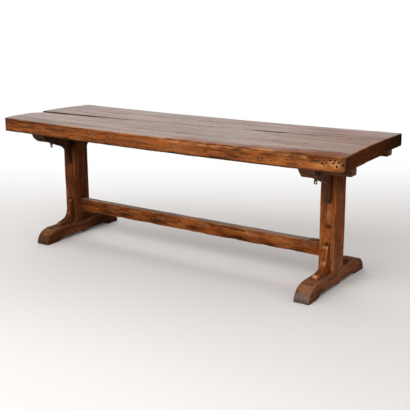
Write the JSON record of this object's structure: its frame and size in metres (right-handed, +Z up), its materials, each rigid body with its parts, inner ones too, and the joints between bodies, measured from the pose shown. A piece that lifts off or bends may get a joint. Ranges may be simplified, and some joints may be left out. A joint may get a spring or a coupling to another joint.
{
  "type": "trestle dining table",
  "caption": "Long trestle dining table: thick plank top on pegged trestles with rounded feet, knee brackets, a wedged stretcher and iron drop rings.",
  "frame": {"origin": "on the floor under the middle of the top's outline", "axes": "+X along the table to the right as seen from the front, +Y to the back, +Z up"},
  "size_m": [2.2177, 0.7464, 0.76],
  "materials": {
    "top_walnut": "old waxed walnut planks, worn and greyed on top, orange-brown on the edges",
    "frame_walnut": "old waxed walnut, warm orange-brown, worn arrises",
    "foot_walnut": "old waxed walnut, darker, scuffed and greyed at the noses",
    "dark_walnut": "unpolished old walnut, dark with age and dirt",
    "peg_oak": "riven oak pegs and wedges, darkened",
    "wrought_iron": "hand-forged iron, black and dull"
  },
  "bodies": {
    "table": {"top_plank_front": "top_walnut", "top_plank_back": "top_walnut", "stretcher": "frame_walnut", "post_left": "frame_walnut", "foot_left": "foot_walnut", "bearer_left": "dark_walnut", "stretcher_wedge_left": "peg_oak", "wedge_peg_left": "peg_oak", "top_pegs_left": "peg_oak", "bearer_pegs_left": "peg_oak", "foot_wedges_left": "peg_oak", "bracket_nails_left": "wrought_iron", "cleat_nails_left": "wrought_iron", "ring_staple_left": "wrought_iron", "upper_bracket_left_front": "dark_walnut", "lower_bracket_left_front": "frame_walnut", "cleat_left_front": "dark_walnut", "upper_bracket_left_back": "dark_walnut", "lower_bracket_left_back": "frame_walnut", "cleat_left_back": "dark_walnut", "post_right": "frame_walnut", "foot_right": "foot_walnut", "bearer_right": "dark_walnut", "stretcher_wedge_right": "peg_oak", "wedge_peg_right": "peg_oak", "top_pegs_right": "peg_oak", "bearer_pegs_right": "peg_oak", "foot_wedges_right": "peg_oak", "bracket_nails_right": "wrought_iron", "cleat_nails_right": "wrought_iron", "ring_staple_right": "wrought_iron", "upper_bracket_right_front": "dark_walnut", "lower_bracket_right_front": "frame_walnut", "cleat_right_front": "dark_walnut", "upper_bracket_right_back": "dark_walnut", "lower_bracket_right_back": "frame_walnut", "cleat_right_back": "dark_walnut"},
    "ring_left": {"drop_ring_left": "wrought_iron"},
    "ring_right": {"drop_ring_right": "wrought_iron"}
  },
  "joints": [
    {"name": "ring_left_swing", "type": "hinge", "parent": "table", "child": "ring_left", "pos_m": [-0.87142, -0.21583, 0.59246], "axis": [0, 1, 0], "range_deg": [-85, 85]},
    {"name": "ring_right_swing", "type": "hinge", "parent": "table", "child": "ring_right", "pos_m": [0.88358, -0.21583, 0.59246], "axis": [0, 1, 0], "range_deg": [-85, 85]}
  ]
}
